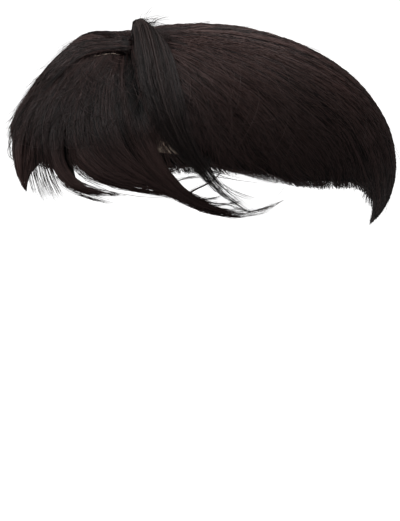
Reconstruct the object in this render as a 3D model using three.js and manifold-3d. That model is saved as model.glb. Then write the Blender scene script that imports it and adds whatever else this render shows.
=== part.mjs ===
// A man's hairpiece: a thin moulded net base that carries locks of straight hair, all combed out
// from one whorl near the front, with a raised forelock that falls forward over the left temple.
// Millimetres, +Z up. The origin is the crown of the scalp, the fringe is at -Y, the wearer's left at +X.

import * as THREE from 'three';
import Module from 'manifold-3d';

const wasm = await Module();
wasm.setup();

const { degToRad, lerp, smoothstep } = THREE.MathUtils;

// Scalp form that the base is moulded to
const scalpHalfLength = 100;
const scalpHalfBreadth = 79;
const scalpDepth = 92;
const scalpFullness = 2.3;

// Net base
const baseWall = 1.2;
const baseColumns = 48;
const baseRows = 7;

// Outer form of the combed hair, as it stands off the scalp
const hairOverEnds = 10;
const hairOverSides = 10;
const hairOverCrown = 7.4;
const hairRise = 70;
const hairSetBack = 4;
const frontLift = 0.047;

// Whorl that every lock starts from, and the fuller hair to the right of it
const whorlForward = 45;
const whorlRight = 3;
const quiffForward = 61;
const quiffRight = 22;
const quiffSpread = 12.5;
const quiffHeight = 8.5;

// Locks
const rootReach = 6;
const seatClearance = 0.9;
const sectionGap = 0.6;
const lockOverlap = 1.2;
const lockGroove = 1.8;
const lockTier = 0.7;
const lockStepReach = 11.5;
const fringeSteps = 12;
const rootShare = 0.85;
const tipShare = 0.28;
const tipWidthShare = 0.75;
const hemStagger = 0.9;
const fringeLockWidth = 20;

// Forelock
const forelockWidth = 20;
const forelockHeight = 9.5;
const forelockClearance = 1;
const forelockSteps = 26;
const forelockRootBearing = 95;
const forelockRootReach = 1.8;
const forelockRootRadius = 5.5;
const forelockRootOverlap = 2.5;
const forelockRootSides = 10;

// How far down the base reaches, by bearing from straight ahead, as a share of the scalp's depth
const rimRows = [
  { bearing: 0, drop: 0.36 },
  { bearing: 30, drop: 0.37 },
  { bearing: 45, drop: 0.4 },
  { bearing: 60, drop: 0.5 },
  { bearing: 75, drop: 0.61 },
  { bearing: 90, drop: 0.66 },
  { bearing: 120, drop: 0.73 },
  { bearing: 150, drop: 0.8 },
  { bearing: 180, drop: 0.82 },
];

// Where the side and back locks end: degrees of reach from the whorl, by bearing around it
const hemRows = [
  { bearing: 44, reach: 54 },
  { bearing: 50, reach: 58.5 },
  { bearing: 54, reach: 63.6 },
  { bearing: 58, reach: 72 },
  { bearing: 63, reach: 76.6 },
  { bearing: 69, reach: 81.7 },
  { bearing: 76, reach: 89.3 },
  { bearing: 86, reach: 95.1 },
  { bearing: 95, reach: 100.7 },
  { bearing: 99, reach: 105.3 },
  { bearing: 102, reach: 109.2 },
  { bearing: 104.5, reach: 114 },
  { bearing: 106, reach: 121 },
  { bearing: 107.5, reach: 128.5 },
  { bearing: 112, reach: 127.5 },
  { bearing: 130, reach: 128 },
  { bearing: 155, reach: 128 },
  { bearing: 180, reach: 127 },
  { bearing: 205, reach: 125 },
  { bearing: 230, reach: 119 },
  { bearing: 248, reach: 112 },
  { bearing: 265, reach: 101 },
  { bearing: 274, reach: 96 },
  { bearing: 289, reach: 87 },
  { bearing: 296, reach: 80 },
  { bearing: 302, reach: 71 },
  { bearing: 307, reach: 63 },
  { bearing: 312, reach: 57.5 },
  { bearing: 318, reach: 54.5 },
  { bearing: 326, reach: 53 },
];

// Side and back sections of hair, each a fan of equal locks between two bearings. The locks near
// the second bearing bend towards it by as many degrees as the last column says.
const sectionRows = [
  { name: 'left_side_hair', from: 44.5, to: 88, locks: 6, bend: 0 },
  { name: 'left_back_hair', from: 88, to: 133, locks: 5, bend: 0 },
  { name: 'back_hair', from: 133, to: 227, locks: 9, bend: 0 },
  { name: 'right_back_hair', from: 227, to: 272, locks: 5, bend: 0 },
  { name: 'right_side_hair', from: 272, to: 321, locks: 6, bend: 3 },
];

// Fringe locks from right to left: bearing and reach of the centre line, half width as a share
const fringeRows = [
  [
    { bearing: -29, reach: 6, half: 0.07 },
    { bearing: -27.2, reach: 25, half: 0.35 },
    { bearing: -21.5, reach: 45, half: 0.7 },
    { bearing: -18.8, reach: 56, half: 0.86 },
    { bearing: -17, reach: 62, half: 0.7 },
    { bearing: -16.4, reach: 67, half: 0.48 },
    { bearing: -15.4, reach: 70.5, half: 0.25 },
    { bearing: -14.2, reach: 73.5, half: 0.05 },
  ],
  [
    { bearing: -12, reach: 6, half: 0.08 },
    { bearing: -10, reach: 25, half: 0.3 },
    { bearing: -6, reach: 42, half: 0.36 },
    { bearing: -2.5, reach: 52, half: 0.2 },
    { bearing: 0.5, reach: 59, half: 0.09 },
    { bearing: 3.5, reach: 66, half: 0.03 },
  ],
  [
    { bearing: -2, reach: 6, half: 0.08 },
    { bearing: -1, reach: 25, half: 0.28 },
    { bearing: 1.5, reach: 44, half: 0.32 },
    { bearing: 3.4, reach: 55, half: 0.28 },
    { bearing: 5.2, reach: 61, half: 0.24 },
    { bearing: 7.8, reach: 65.8, half: 0.22 },
    { bearing: 11, reach: 69.5, half: 0.18 },
    { bearing: 15.5, reach: 72, half: 0.12 },
    { bearing: 20.5, reach: 73.6, half: 0.07 },
    { bearing: 26, reach: 75, half: 0.03 },
  ],
  [
    { bearing: 10, reach: 6, half: 0.07 },
    { bearing: 11.5, reach: 25, half: 0.28 },
    { bearing: 14.5, reach: 45, half: 0.42 },
    { bearing: 17.5, reach: 57, half: 0.44 },
    { bearing: 23, reach: 64.8, half: 0.4 },
    { bearing: 31, reach: 70.5, half: 0.32 },
    { bearing: 39, reach: 75.5, half: 0.18 },
    { bearing: 46, reach: 80.5, half: 0.05 },
  ],
  [
    { bearing: 23, reach: 6, half: 0.07 },
    { bearing: 23.5, reach: 25, half: 0.28 },
    { bearing: 25, reach: 45, half: 0.4 },
    { bearing: 28.5, reach: 57, half: 0.4 },
    { bearing: 34, reach: 66, half: 0.34 },
    { bearing: 40.5, reach: 75, half: 0.24 },
    { bearing: 47, reach: 83.5, half: 0.12 },
    { bearing: 52, reach: 89, half: 0.04 },
  ],
  [
    { bearing: 35, reach: 6, half: 0.08 },
    { bearing: 36, reach: 25, half: 0.3 },
    { bearing: 36.3, reach: 44, half: 0.46 },
    { bearing: 37.3, reach: 56, half: 0.47 },
    { bearing: 39, reach: 65, half: 0.36 },
    { bearing: 42.5, reach: 76, half: 0.23 },
    { bearing: 47.5, reach: 85.5, half: 0.14 },
    { bearing: 53.5, reach: 91.5, half: 0.09 },
    { bearing: 61, reach: 94.3, half: 0.05 },
    { bearing: 68, reach: 93, half: 0.02 },
  ],
];

// Forelock from the whorl to its tip: its height above the hair and half width as shares
const forelockRows = [
  { bearing: 104, reach: 4.4, rise: 0.95, half: 0.22 },
  { bearing: 99, reach: 4.6, rise: 1, half: 0.24 },
  { bearing: 90, reach: 6.3, rise: 1, half: 0.28 },
  { bearing: 76, reach: 10.6, rise: 0.97, half: 0.34 },
  { bearing: 66.5, reach: 16.5, rise: 0.84, half: 0.4 },
  { bearing: 60.5, reach: 24, rise: 0.68, half: 0.44 },
  { bearing: 55, reach: 36, rise: 0.52, half: 0.46 },
  { bearing: 52.2, reach: 50, rise: 0.42, half: 0.42 },
  { bearing: 51.9, reach: 60, rise: 0.37, half: 0.27 },
  { bearing: 52.6, reach: 68, rise: 0.33, half: 0.17 },
  { bearing: 53.8, reach: 77, rise: 0.3, half: 0.11 },
  { bearing: 55.8, reach: 85, rise: 0.27, half: 0.085 },
  { bearing: 59.4, reach: 92.5, rise: 0.24, half: 0.06 },
];

const hairHalfLength = scalpHalfLength + hairOverEnds;
const hairHalfBreadth = scalpHalfBreadth + hairOverSides;
const hairCentre = new THREE.Vector3(0, hairSetBack, hairOverCrown - hairRise);
const hairRadius = (hairHalfLength + hairHalfBreadth) / 2;
const scalpCentre = new THREE.Vector3(0, 0, -scalpDepth);

// Unit directions at the whorl on the round form that the hair's outer surface is stretched from
const pole = whorlPole();
const ahead = new THREE.Vector3(0, -1, 0).projectOnPlane(pole).normalize();
const leftward = new THREE.Vector3().crossVectors(ahead, pole).negate();

function whorlPole() {
  const x = -whorlRight / hairHalfBreadth;
  const y = -(whorlForward + hairSetBack) / hairHalfLength;
  return new THREE.Vector3(x, y, Math.sqrt(1 - x * x - y * y));
}

// Value of a table's column at a bearing, on straight lines between its rows
function readTable(rows, column, bearing) {
  const next = Math.max(1, rows.findIndex((row) => row.bearing >= bearing));
  const low = rows[next - 1];
  const high = rows[next];
  const share = (bearing - low.bearing) / (high.bearing - low.bearing);
  return lerp(low[column], high[column], THREE.MathUtils.clamp(share, 0, 1));
}

// Point of the hair's outer surface at a bearing and a reach from the whorl, both in degrees
function hairPoint(bearing, reach) {
  const turn = degToRad(bearing);
  const out = degToRad(reach);
  const point = pole.clone().multiplyScalar(Math.cos(out));
  point.addScaledVector(ahead, Math.sin(out) * Math.cos(turn));
  point.addScaledVector(leftward, Math.sin(out) * Math.sin(turn));
  point.multiply(new THREE.Vector3(hairHalfBreadth, hairHalfLength, hairRise));
  point.z -= frontLift * point.y;
  point.add(hairCentre);
  const off = Math.hypot(point.x + quiffRight, point.y + quiffForward) / quiffSpread;
  point.z += quiffHeight * Math.exp(-off * off / 2);
  return point;
}

// Direction square to the hair's outer surface at one of its points, leaving the quiff out
function hairNormal(point) {
  const from = point.clone().sub(hairCentre);
  const level = (from.z + frontLift * from.y) / hairRise ** 2;
  return new THREE.Vector3(
    from.x / hairHalfBreadth ** 2,
    from.y / hairHalfLength ** 2 + frontLift * level,
    level,
  ).normalize();
}

// Point of the hair's outer surface on the line from its centre through a point
function ontoHair(point) {
  const ray = point.clone().sub(hairCentre);
  const level = ray.z + frontLift * ray.y;
  const size = Math.hypot(ray.x / hairHalfBreadth, ray.y / hairHalfLength, level / hairRise);
  return ray.divideScalar(size).add(hairCentre);
}

// Where the line from the scalp form's centre to a point crosses the form grown by an offset
function onScalp(point, offset) {
  const ray = point.clone().sub(scalpCentre);
  const sum = Math.abs(ray.x / (scalpHalfBreadth + offset)) ** scalpFullness
    + Math.abs(ray.y / (scalpHalfLength + offset)) ** scalpFullness
    + Math.abs(ray.z / (scalpDepth + offset)) ** scalpFullness;
  return ray.multiplyScalar(sum ** (-1 / scalpFullness)).add(scalpCentre);
}

// Triangles that join rings of equally many points, with a fan over the first and last ring
function closedRings(rings) {
  const count = rings[0].length;
  const triangles = [];
  for (let r = 0; r + 1 < rings.length; r += 1) {
    for (let i = 0; i < count; i += 1) {
      const a = r * count + i;
      const b = r * count + (i + 1) % count;
      triangles.push(a, b, b + count, a, b + count, a + count);
    }
  }
  const last = (rings.length - 1) * count;
  for (let i = 1; i + 1 < count; i += 1) {
    triangles.push(0, i + 1, i);
    triangles.push(last, last + i, last + i + 1);
  }
  const vertProperties = new Float32Array(rings.flat().flatMap((p) => [p.x, p.y, p.z]));
  return new wasm.Manifold(new wasm.Mesh({
    numProp: 3,
    vertProperties,
    triVerts: new Uint32Array(triangles),
  }));
}

// One ring across a lock: three points on its underside and four over its crest and grooves
function lockRing(station, tier) {
  const across = (side) => {
    const width = side < 0 ? station.right : station.left;
    const bearing = station.bearing + side * width * station.acrossBearing;
    const outer = hairPoint(bearing, station.reach + side * width * station.acrossReach);
    const seat = onScalp(outer, baseWall + seatClearance + tier);
    const top = seat.clone().lerp(outer, station.rise);
    const depth = top.distanceTo(seat);
    const groove = Math.min(lockGroove * side * side, depth / 2);
    const bottom = top.clone().lerp(seat, station.body);
    return { bottom, top: top.lerp(seat, groove / depth * station.body) };
  };
  const right = across(-1);
  const left = across(1);
  return [right.bottom, across(0).bottom, left.bottom,
    left.top, across(0.45).top, across(-0.45).top, right.top];
}

// Directions across a path of bearing and reach, in degrees for each millimetre
function acrossPath(bearing, reach, bearingStep, reachStep) {
  const girth = hairRadius * Math.sin(degToRad(reach));
  const around = bearingStep * girth;
  const along = reachStep * hairRadius;
  const length = Math.hypot(around, along);
  return {
    acrossBearing: along / length / degToRad(girth),
    acrossReach: -around / length / degToRad(hairRadius),
  };
}

// How full a lock is at a share of its length: low at the root, whole on the way, thin at the tip
function fullness(share) {
  return {
    rise: lerp(rootShare, 1, smoothstep(share, 0, 0.2)),
    body: lerp(1, tipShare, smoothstep(share, 0.5, 1)),
  };
}

// Lock of a side or back section: a wedge between two bearings, from the whorl to the hem
function sectionLock(section, index) {
  const step = (section.to - section.from) / section.locks;
  const place = (index + 0.5) / section.locks;
  const middle = lerp(section.from, section.to, place);
  const end = readTable(hemRows, 'reach', middle) + Math.sin(index * 2.4) * hemStagger;
  const first = index === 0;
  const last = index === section.locks - 1;
  const steps = Math.ceil((end - rootReach) / lockStepReach);
  const rings = [];
  for (let i = 0; i <= steps; i += 1) {
    const share = i / steps;
    const reach = lerp(rootReach, end, share);
    const bearing = middle + section.bend * place * share ** 2;
    const half = hairRadius * Math.sin(degToRad(reach)) * degToRad(step / 2);
    const tip = lerp(1, tipWidthShare, smoothstep(share, 0.8, 1));
    const station = {
      bearing,
      reach,
      right: (half + (first ? -sectionGap / 2 : lockOverlap / 2)) * tip,
      left: (half + (last ? -sectionGap / 2 : lockOverlap / 2)) * tip,
      ...acrossPath(bearing, reach, 0, 1),
      ...fullness(share),
    };
    rings.push(lockRing(station, (index % 2) * lockTier));
  }
  return closedRings(rings);
}

// Lock of the fringe: a smooth path through its rows
function fringeLock(rows, index) {
  const path = new THREE.CatmullRomCurve3(
    rows.map((row) => new THREE.Vector3(row.bearing, row.reach, row.half * 100)));
  const rings = [];
  for (let i = 0; i <= fringeSteps; i += 1) {
    const share = i / fringeSteps;
    const at = path.getPoint(share);
    const heading = path.getTangent(share);
    const half = fringeLockWidth * at.z / 100;
    const station = {
      bearing: at.x,
      reach: at.y,
      right: half,
      left: half,
      ...acrossPath(at.x, at.y, heading.x, heading.y),
      ...fullness(share),
    };
    rings.push(lockRing(station, (index % 2) * lockTier));
  }
  return closedRings(rings);
}

// Forelock: hair that stands up out of the whorl, bends over and lies along the dome
function forelockSolid() {
  const path = new THREE.CatmullRomCurve3(
    forelockRows.map((row) => new THREE.Vector3(row.bearing, row.reach, 0)));
  const sizes = new THREE.CatmullRomCurve3(
    forelockRows.map((row) => new THREE.Vector3(row.rise, row.half, 0).multiplyScalar(100)));
  const surfaceAt = (share) => {
    const at = path.getPoint(THREE.MathUtils.clamp(share, 0, 1));
    return hairPoint(at.x, at.y);
  };
  const rings = [];
  for (let i = 0; i <= forelockSteps; i += 1) {
    const share = i / forelockSteps;
    const centre = surfaceAt(share);
    const size = sizes.getPoint(share);
    const half = forelockWidth * size.y / 100;
    const top = forelockHeight * size.x / 100;
    const heading = surfaceAt(share + 0.01).sub(surfaceAt(share - 0.01));
    const across = hairNormal(centre).cross(heading).normalize();
    const point = (side, lift) => {
      const under = ontoHair(centre.clone().addScaledVector(across, side * half));
      return under.addScaledVector(hairNormal(under), lift);
    };
    const shoulder = lerp(forelockClearance, top, 0.55);
    rings.push([point(-1, forelockClearance), point(0, forelockClearance),
      point(1, forelockClearance), point(1, shoulder), point(0.45, top),
      point(-0.45, top), point(-1, shoulder)]);
  }
  return closedRings(rings);
}

// Root of the forelock: a short bundle from the base up through the whorl
function forelockRoot() {
  const top = hairPoint(forelockRootBearing, forelockRootReach);
  const seat = onScalp(top, baseWall + seatClearance);
  const up = hairNormal(top);
  const side = new THREE.Vector3(1, 0, 0).projectOnPlane(up).normalize();
  const front = new THREE.Vector3().crossVectors(up, side);
  const rings = [seat, top.addScaledVector(up, forelockRootOverlap)].map((centre) => {
    const ring = [];
    for (let i = 0; i < forelockRootSides; i += 1) {
      const turn = 2 * Math.PI * i / forelockRootSides;
      ring.push(centre.clone()
        .addScaledVector(side, forelockRootRadius * Math.cos(turn))
        .addScaledVector(front, forelockRootRadius * Math.sin(turn)));
    }
    return ring;
  });
  return closedRings(rings);
}

// Net base: a shell over the scalp whose rim dips from the hairline to the nape
function baseSolid() {
  const scalpRing = (row, grow) => {
    const ring = [];
    for (let c = 0; c < baseColumns; c += 1) {
      const turn = 2 * Math.PI * c / baseColumns;
      const bearing = Math.abs(180 - Math.abs(360 * c / baseColumns - 180));
      const drop = scalpDepth * readTable(rimRows, 'drop', bearing);
      const z = grow - (drop + grow) * (row / baseRows) ** 2;
      const level = Math.abs((z + scalpDepth) / (scalpDepth + grow)) ** scalpFullness;
      const sides = Math.abs(Math.sin(turn) / (scalpHalfBreadth + grow)) ** scalpFullness
        + Math.abs(Math.cos(turn) / (scalpHalfLength + grow)) ** scalpFullness;
      const radius = ((1 - level) / sides) ** (1 / scalpFullness);
      ring.push(new THREE.Vector3(radius * Math.sin(turn), -radius * Math.cos(turn), z));
    }
    return ring;
  };
  const rows = [0.4];
  for (let row = 1; row <= baseRows; row += 1) rows.push(row);
  const inside = rows.map((row) => scalpRing(row, 0));
  const outside = rows.map((row) => scalpRing(row, baseWall));
  return closedRings([...inside, ...outside.reverse()]);
}

function fuse(solids) {
  return solids.reduce((whole, solid) => whole.add(solid));
}

function toMesh(solid, name, material) {
  const { vertProperties, triVerts } = solid.getMesh();
  const geometry = new THREE.BufferGeometry();
  geometry.setAttribute('position', new THREE.BufferAttribute(vertProperties, 3));
  geometry.setIndex(new THREE.BufferAttribute(triVerts, 1));
  geometry.computeVertexNormals();
  const mesh = new THREE.Mesh(geometry, material);
  mesh.name = name;
  return mesh;
}

const hairMaterial = new THREE.MeshStandardMaterial({ color: 0x1d1614, roughness: 0.45, metalness: 0 });
const baseMaterial = new THREE.MeshStandardMaterial({ color: 0xd9cdbd, roughness: 0.85, metalness: 0 });

const hairpiece = new THREE.Group();

for (const section of sectionRows) {
  const locks = [];
  for (let i = 0; i < section.locks; i += 1) locks.push(sectionLock(section, i));
  hairpiece.add(toMesh(fuse(locks), section.name, hairMaterial));
}

const fringe = fuse(fringeRows.map(fringeLock));
hairpiece.add(toMesh(fringe, 'front_fringe', hairMaterial));

const forelock = forelockSolid().add(forelockRoot());
hairpiece.add(toMesh(forelock, 'forelock', hairMaterial));
hairpiece.add(toMesh(baseSolid(), 'base_cap', baseMaterial));

export default hairpiece;
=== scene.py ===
# %% [markdown]
# # A man's hairpiece, dressed around its CAD frame
# The real thing is a moulded net cap with thousands of hairs knotted into it. All of them are combed
# out from one whorl near the front, the front ones fall forward as a fringe, and one thick lock
# stands up out of the whorl, bends over and lies down to the left temple.
# The CAD model holds the cap and one plain solid for each section of hair. Here each of those solids
# is replaced by a body of combed locks with the same form, and single hairs are laid over it.
# Blender can grow hair on a surface by itself. A library part is exported as meshes, though, and the
# cut has to follow a chart, so every hair is a thin tube that numpy works out.

# %% Load the frame
import bpy
import numpy as np
from mathutils import Matrix, Vector


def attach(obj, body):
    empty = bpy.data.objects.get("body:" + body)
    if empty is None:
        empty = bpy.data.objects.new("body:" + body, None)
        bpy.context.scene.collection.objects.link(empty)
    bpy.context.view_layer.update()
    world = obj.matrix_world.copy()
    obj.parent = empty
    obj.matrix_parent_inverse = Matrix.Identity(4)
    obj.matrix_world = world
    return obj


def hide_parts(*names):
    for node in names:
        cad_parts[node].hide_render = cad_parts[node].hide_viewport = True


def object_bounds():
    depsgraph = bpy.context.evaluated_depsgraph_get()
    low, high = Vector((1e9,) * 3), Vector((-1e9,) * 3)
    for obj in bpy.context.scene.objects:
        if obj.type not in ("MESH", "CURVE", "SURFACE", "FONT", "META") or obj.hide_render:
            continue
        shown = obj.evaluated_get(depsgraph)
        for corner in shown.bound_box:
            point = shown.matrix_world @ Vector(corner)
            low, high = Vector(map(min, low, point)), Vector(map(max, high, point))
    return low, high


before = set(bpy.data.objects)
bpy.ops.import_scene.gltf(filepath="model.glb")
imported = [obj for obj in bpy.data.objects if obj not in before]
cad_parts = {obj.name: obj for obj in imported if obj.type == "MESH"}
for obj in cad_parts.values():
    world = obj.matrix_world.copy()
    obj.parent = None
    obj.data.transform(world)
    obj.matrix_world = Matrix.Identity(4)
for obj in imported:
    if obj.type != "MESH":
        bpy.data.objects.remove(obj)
cad_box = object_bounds()
print("CAD box", [tuple(round(c, 4) for c in corner) for corner in cad_box])

# %% [markdown]
# ## The dome that all hair lies on
# Every section of hair shares one outer form: a stretched ball, tilted a little and raised at one
# place, where the hair stands fuller. A point of it is named by its bearing around the whorl (0 is
# straight forward, positive is towards the wearer's left) and its reach from the whorl in degrees.
# Laying hair in these two numbers is easy, because combed hair runs outwards at a steady bearing.
# A sculpted mesh could be the guide as well, but a formula gives any place on the dome, and its
# outward direction, for a whole array at once.

# %% The hair's outer form
HAIR_HALF = np.array([0.089, 0.110, 0.070])
HAIR_CENTRE = np.array([0.0, 0.004, -0.0626])
FRONT_LIFT = 0.047
WHORL = (-0.003, -0.045)
QUIFF = (-0.022, -0.061)
QUIFF_SPREAD = 0.0125
QUIFF_HEIGHT = 0.0085
GIRTH = (HAIR_HALF[0] + HAIR_HALF[1]) / 2

across_x = WHORL[0] / HAIR_HALF[0]
across_y = (WHORL[1] - HAIR_CENTRE[1]) / HAIR_HALF[1]
POLE = np.array([across_x, across_y, np.sqrt(1 - across_x ** 2 - across_y ** 2)])
AHEAD = np.array([0.0, -1.0, 0.0]) + POLE[1] * POLE
AHEAD /= np.linalg.norm(AHEAD)
LEFTWARD = -np.cross(AHEAD, POLE)


def hair_point(bearing, reach):
    """Point of the outer form: a unit direction turned from the pole by the reach, at the bearing,
    stretched to the dome's half sizes, tilted by a share of y, and raised by a round hump."""
    turn, out = np.radians(bearing)[..., None], np.radians(reach)[..., None]
    ray = np.cos(out) * POLE + np.sin(out) * (np.cos(turn) * AHEAD + np.sin(turn) * LEFTWARD)
    point = ray * HAIR_HALF
    point[..., 2] -= FRONT_LIFT * point[..., 1]
    point += HAIR_CENTRE
    off = ((point[..., 0] - QUIFF[0]) ** 2 + (point[..., 1] - QUIFF[1]) ** 2) / QUIFF_SPREAD ** 2
    point[..., 2] += QUIFF_HEIGHT * np.exp(-off / 2)
    return point


def unit(vectors):
    """Each vector divided by its length."""
    return vectors / np.maximum(np.linalg.norm(vectors, axis=-1, keepdims=True), 1e-12)


def hair_normal(point):
    """Outward direction of the dome at a point: each coordinate from its centre, divided by the
    square of the half size along it, with the tilt taken out first."""
    x, y, z = np.moveaxis(point - HAIR_CENTRE, -1, 0)
    level = (z + FRONT_LIFT * y) / HAIR_HALF[2] ** 2
    slope = y / HAIR_HALF[1] ** 2 + FRONT_LIFT * level
    return unit(np.stack([x / HAIR_HALF[0] ** 2, slope, level], -1))


# %% [markdown]
# ## The scalp under the cap
# The cap is moulded to a rounded, slightly boxy form. Hair starts just above it, so the distance
# between this surface and the dome is the room that the hair has. Rays could be cast at
# the cap's mesh to find it, but the same rounded box as a formula is quicker and has no gaps.

# %% The scalp
SCALP_HALF = np.array([0.079, 0.100, 0.092])
SCALP_CENTRE = np.array([0.0, 0.0, -0.092])
SCALP_FULLNESS = 2.3
SEAT = 0.0021


def scalp_point(point, offset=SEAT):
    """Where the line from the form's centre to a point meets the scalp, grown by an offset: the sum
    of each coordinate's share of its half size, to the power of the fullness, is one there."""
    ray = point - SCALP_CENTRE
    total = (np.abs(ray / (SCALP_HALF + offset)) ** SCALP_FULLNESS).sum(-1, keepdims=True)
    return SCALP_CENTRE + ray * total ** (-1 / SCALP_FULLNESS)


sample = hair_point(np.array([0.0, 90.0, 180.0]), np.array([45.0, 60.0, 90.0]))
rooms = np.linalg.norm(sample - scalp_point(sample), axis=-1) * 1000
print("room for hair in mm, front, side, back:", rooms.round(1))

# %% [markdown]
# ## Tables
# These rows say where the hair goes, as on a barber's chart. A hem row is the reach where the hair
# ends at a bearing. A fringe row is a place on one lock's middle line and half its width there, as
# a share of 20 mm. A forelock row adds how high the lock stands over the dome, as a share of 9.5 mm.
# The same could be drawn as guide curves in the viewport. A table is shorter, and a single number
# in it can be changed without disturbing its neighbours.

# %% Tables of the cut
HEM = np.array([
    (44, 54), (50, 58.5), (54, 63.6), (58, 72), (63, 76.6), (69, 81.7), (76, 89.3), (86, 95.1),
    (95, 100.7), (99, 105.3), (102, 109.2), (104.5, 114), (106, 121), (107.5, 128.5), (112, 127.5),
    (130, 128), (155, 128), (180, 127), (205, 125), (230, 119), (248, 112), (265, 101), (274, 96),
    (289, 87), (296, 80), (302, 71), (307, 63), (312, 57.5), (318, 54.5), (326, 53)])

SECTIONS = {
    "left_side_hair": (44.5, 88, 6, 0),
    "left_back_hair": (88, 133, 5, 0),
    "back_hair": (133, 227, 9, 0),
    "right_back_hair": (227, 272, 5, 0),
    "right_side_hair": (272, 321, 6, 3),
}

FRINGE_WIDTH = 0.020
SHARE_WEIGHT = 100
FRINGE = [
    [(-29, 6, .07), (-27.2, 25, .35), (-21.5, 45, .7), (-18.8, 56, .86), (-17, 62, .7),
     (-16.4, 67, .48), (-15.4, 70.5, .25), (-14.2, 73.5, .05)],
    [(-12, 6, .08), (-10, 25, .3), (-6, 42, .36), (-2.5, 52, .2), (.5, 59, .09), (3.5, 66, .03)],
    [(-2, 6, .08), (-1, 25, .28), (1.5, 44, .32), (3.4, 55, .28), (5.2, 61, .24), (7.8, 65.8, .22),
     (11, 69.5, .18), (15.5, 72, .12), (20.5, 73.6, .07), (26, 75, .03)],
    [(10, 6, .07), (11.5, 25, .28), (14.5, 45, .42), (17.5, 57, .44), (23, 64.8, .4),
     (31, 70.5, .32), (39, 75.5, .18), (46, 80.5, .05)],
    [(23, 6, .07), (23.5, 25, .28), (25, 45, .4), (28.5, 57, .4), (34, 66, .34), (40.5, 75, .24),
     (47, 83.5, .12), (52, 89, .04)],
    [(35, 6, .08), (36, 25, .3), (36.3, 44, .46), (37.3, 56, .47), (39, 65, .36), (42.5, 76, .23),
     (47.5, 85.5, .14), (53.5, 91.5, .09), (61, 94.3, .05), (68, 93, .02)],
]

FORELOCK_WIDTH = 0.020
FORELOCK_HEIGHT = 0.0095
FORELOCK = [
    (104, 4.4, .95, .22), (99, 4.6, 1, .24), (90, 6.3, 1, .28), (76, 10.6, .97, .34),
    (66.5, 16.5, .84, .4), (60.5, 24, .68, .44), (55, 36, .52, .46), (52.2, 50, .42, .42),
    (51.9, 60, .37, .27), (52.6, 68, .33, .17), (53.8, 77, .3, .11), (55.8, 85, .27, .085),
    (59.4, 92.5, .24, .06)]

PARTING = np.array([(-7, 15.9), (-1, 15), (4, 13.8), (11, 12.8), (19, 12.3), (28, 12.9), (35, 14)])


def through_rows(rows, shares):
    """Smooth path through a table's rows. The share of the path times the number of gaps picks two
    rows, and a cubic runs between them. Its slopes come from the rows on both sides, weighted by
    the square root of their distance, so that close rows make no loops."""
    rows = np.asarray(rows, float)
    padded = np.vstack([2 * rows[0] - rows[1], rows, 2 * rows[-1] - rows[-2]])
    shares = np.asarray(shares, float)
    place = np.clip(shares, 0, 1) * (len(rows) - 1)
    gap = np.minimum(place.astype(int), len(rows) - 2)
    w = (place - gap)[..., None]
    a, b, c, d = (padded[gap + k] for k in range(4))
    reach = np.sqrt(np.linalg.norm(np.diff(padded, axis=0), axis=1))
    da, db, dc = (reach[gap + k][..., None] for k in range(3))
    leave = ((b - a) / da - (c - a) / (da + db) + (c - b) / db) * db
    arrive = ((c - b) / db - (d - b) / (db + dc) + (d - c) / dc) * db
    cubic = 2 * b - 2 * c + leave + arrive
    square = 3 * c - 3 * b - 2 * leave - arrive
    return b + w * (leave + w * (square + w * cubic))


def smooth(x, low, high):
    """0 below low, 1 above high, and an S curve between: t squared times (3 - 2t)."""
    t = np.clip((x - low) / (high - low), 0, 1)
    return t * t * (3 - 2 * t)


def blend(a, b, share):
    """a where the share is 0, b where it is 1, and on a straight line between."""
    return a + (b - a) * share


def hem_reach(bearing):
    """Reach of the hem at a bearing, on straight lines between the rows."""
    return np.interp(bearing, HEM[:, 0], HEM[:, 1])


def sideways(reach, bearing_step, reach_step):
    """Degrees of bearing and of reach for each metre across a path: the path's own direction in
    metres, turned by a right angle, and put back into degrees."""
    girth = GIRTH * np.sin(np.radians(reach))
    around, along = bearing_step * girth, reach_step * GIRTH
    length = np.maximum(np.hypot(around, along), 1e-9)
    wide = np.degrees(1) / np.maximum(girth, 0.002)
    return along / length * wide, -around / length * np.degrees(1) / GIRTH


print("hem reach at bearing 90:", hem_reach(90.0), "fringe locks:", len(FRINGE))

# %% [markdown]
# ## The camera
# The photograph was taken from the wearer's left front, a little above the hairpiece, with a long
# lens. The camera could be aimed with a constraint, but here its three axes are worked out from the
# two angles, and it is moved sideways and up until the crown falls on its place in the picture.

# %% Camera
VIEW_AZIMUTH, VIEW_ELEVATION = np.radians(44.0), np.radians(9.0)
VIEW_DISTANCE = 1.3
PIXEL = 0.00051
CROWN_PIXEL = (198.6, 39.3)
IMAGE = (400, 521)

back = np.array([np.sin(VIEW_AZIMUTH) * np.cos(VIEW_ELEVATION),
                 -np.cos(VIEW_AZIMUTH) * np.cos(VIEW_ELEVATION), np.sin(VIEW_ELEVATION)])
right = np.array([np.cos(VIEW_AZIMUTH), np.sin(VIEW_AZIMUTH), 0.0])
above = np.cross(back, right)
eye = back * VIEW_DISTANCE - right * (CROWN_PIXEL[0] - IMAGE[0] / 2) * PIXEL
eye = eye - above * (IMAGE[1] / 2 - CROWN_PIXEL[1]) * PIXEL

camera_data = bpy.data.cameras.new("photo_camera")
camera_data.sensor_width = 36.0
camera_data.lens = 36.0 * VIEW_DISTANCE / (PIXEL * IMAGE[1])
camera_data.clip_end = 60.0
camera = bpy.data.objects.new("photo_camera", camera_data)
camera.matrix_world = Matrix([[*row, place] for row, place in
                              zip(np.stack([right, above, back], 1).tolist(), eye.tolist())]
                             + [[0, 0, 0, 1]])
bpy.context.scene.collection.objects.link(camera)
bpy.context.scene.camera = camera
print("lens mm", round(camera_data.lens, 1))

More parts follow.
